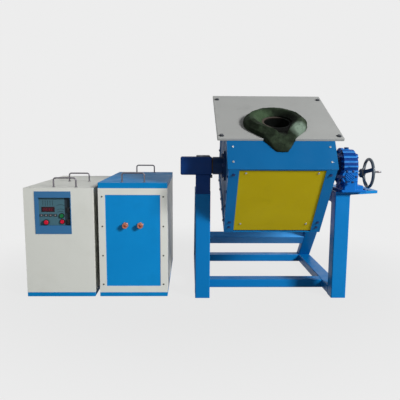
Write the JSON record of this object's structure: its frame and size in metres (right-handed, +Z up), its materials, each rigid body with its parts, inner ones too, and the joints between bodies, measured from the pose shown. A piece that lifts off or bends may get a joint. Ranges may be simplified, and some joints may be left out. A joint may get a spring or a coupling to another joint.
{
  "type": "induction melting furnace",
  "caption": "Hand-tilted induction melting furnace in a welded frame with a worm gearbox and handwheel, beside its power and transformer cabinets",
  "frame": {"origin": "on the floor, in the middle of the underside of the tilting frame's front cross bar", "axes": "X to the right along the trunnion axis, Y to the back, Z up"},
  "size_m": [1.813, 1.1164, 1.0472],
  "materials": {
    "blue_paint": "satin",
    "gearbox_paint": "gloss",
    "side_paint": "satin",
    "dark_steel": "satin",
    "cream_paint": "satin",
    "light_blue_paint": "satin",
    "blue_board": "satin",
    "yellow_board": "matte",
    "cement_board": "matte",
    "rammed_refractory": "matte",
    "graphite": "matte",
    "copper_tube": "satin",
    "bronze": "satin",
    "bright_steel": "gloss",
    "wheel_paint": "satin",
    "grip_chrome": "gloss",
    "fascia_paint": "satin",
    "dark_window": "gloss",
    "red_plastic": "gloss",
    "green_plastic": "gloss",
    "key_plastic": "satin",
    "inner_steel": "satin",
    "capacitor_shell": "satin"
  },
  "bodies": {
    "frame": {"left_post": "blue_paint", "right_post": "blue_paint", "base_beams": "blue_paint", "top_beams": "blue_paint", "braces": "blue_paint", "front_cross_bar": "blue_paint", "rear_cross_bar": "blue_paint", "upper_cross_bar": "blue_paint", "gearbox_shelf": "blue_paint", "bearing_pedestal": "blue_paint", "bearing_housing": "blue_paint", "bearing_bush": "bronze", "bearing_cap": "dark_steel", "gearbox_housing": "gearbox_paint", "input_stage_housing": "gearbox_paint", "gearbox_covers": "gearbox_paint", "gearbox_bolts": "dark_steel", "power_cabinet_case": "cream_paint", "transformer_cabinet_case": "cream_paint", "transformer_cabinet_lid": "light_blue_paint", "front_frame": "cream_paint", "front_insulating_board": "blue_board", "front_screws": "bright_steel", "cabinet_plinths": "light_blue_paint", "cabinet_rear_panels": "cream_paint", "rear_fittings": "bright_steel", "cabinet_handles": "bright_steel", "control_fascia": "fascia_paint", "display_window": "dark_window", "switch_bezels": "bright_steel", "output_unions": "copper_tube", "power_module": "inner_steel", "capacitor_bank": "capacitor_shell", "matching_transformer": "inner_steel"},
    "furnace": {"shell_frame": "blue_paint", "front_board": "yellow_board", "side_panels": "side_paint", "rear_board": "yellow_board", "bottom_plate": "blue_paint", "front_band": "blue_paint", "top_plate": "cement_board", "shell_bolts": "dark_steel", "panel_screws": "bright_steel", "refractory_lining": "rammed_refractory", "crucible": "graphite", "pouring_collar": "rammed_refractory", "induction_coil": "copper_tube", "coil_terminals": "copper_tube", "left_trunnion": "dark_steel", "right_trunnion": "dark_steel"},
    "wheel": {"handwheel": "wheel_paint", "input_shaft": "bright_steel"},
    "grip": {"crank_grip": "grip_chrome"},
    "start_switch": {"start_button": "green_plastic"},
    "stop_switch": {"stop_button": "red_plastic"},
    "emergency_switch": {"emergency_stop": "red_plastic"},
    "key_switch_1": {"key_1": "key_plastic"},
    "key_switch_2": {"key_2": "key_plastic"},
    "key_switch_3": {"key_3": "key_plastic"},
    "key_switch_4": {"key_4": "key_plastic"}
  },
  "joints": [
    {"name": "furnace_tilt", "type": "hinge", "parent": "frame", "child": "furnace", "pos_m": [0, -0.183, 0.68], "axis": [1, 0, 0], "range_deg": [-24.5, 65]},
    {"name": "handwheel_turn", "type": "hinge", "parent": "frame", "child": "wheel", "pos_m": [0.467, -0.108, 0.64], "axis": [1, 0, 0], "range_deg": [-1480, 3910]},
    {"name": "grip_spin", "type": "hinge", "parent": "wheel", "child": "grip", "pos_m": [0.526, -0.17911, 0.65126], "axis": [1, 0, 0], "continuous": true},
    {"name": "start_press", "type": "slide", "parent": "frame", "child": "start_switch", "axis": [0, 1, 0], "range_m": [0, 0.003], "stiffness_N_per_m": 500},
    {"name": "stop_press", "type": "slide", "parent": "frame", "child": "stop_switch", "axis": [0, 1, 0], "range_m": [0, 0.003], "stiffness_N_per_m": 500},
    {"name": "emergency_press", "type": "slide", "parent": "frame", "child": "emergency_switch", "axis": [0, 1, 0], "range_m": [0, 0.004]},
    {"name": "key_1_press", "type": "slide", "parent": "frame", "child": "key_switch_1", "axis": [0, 1, 0], "range_m": [0, 0.001], "stiffness_N_per_m": 800},
    {"name": "key_2_press", "type": "slide", "parent": "frame", "child": "key_switch_2", "axis": [0, 1, 0], "range_m": [0, 0.001], "stiffness_N_per_m": 800},
    {"name": "key_3_press", "type": "slide", "parent": "frame", "child": "key_switch_3", "axis": [0, 1, 0], "range_m": [0, 0.001], "stiffness_N_per_m": 800},
    {"name": "key_4_press", "type": "slide", "parent": "frame", "child": "key_switch_4", "axis": [0, 1, 0], "range_m": [0, 0.001], "stiffness_N_per_m": 800}
  ],
  "couplings": [
    {"joint": "handwheel_turn", "follows": "furnace_tilt", "ratio": 60}
  ]
}
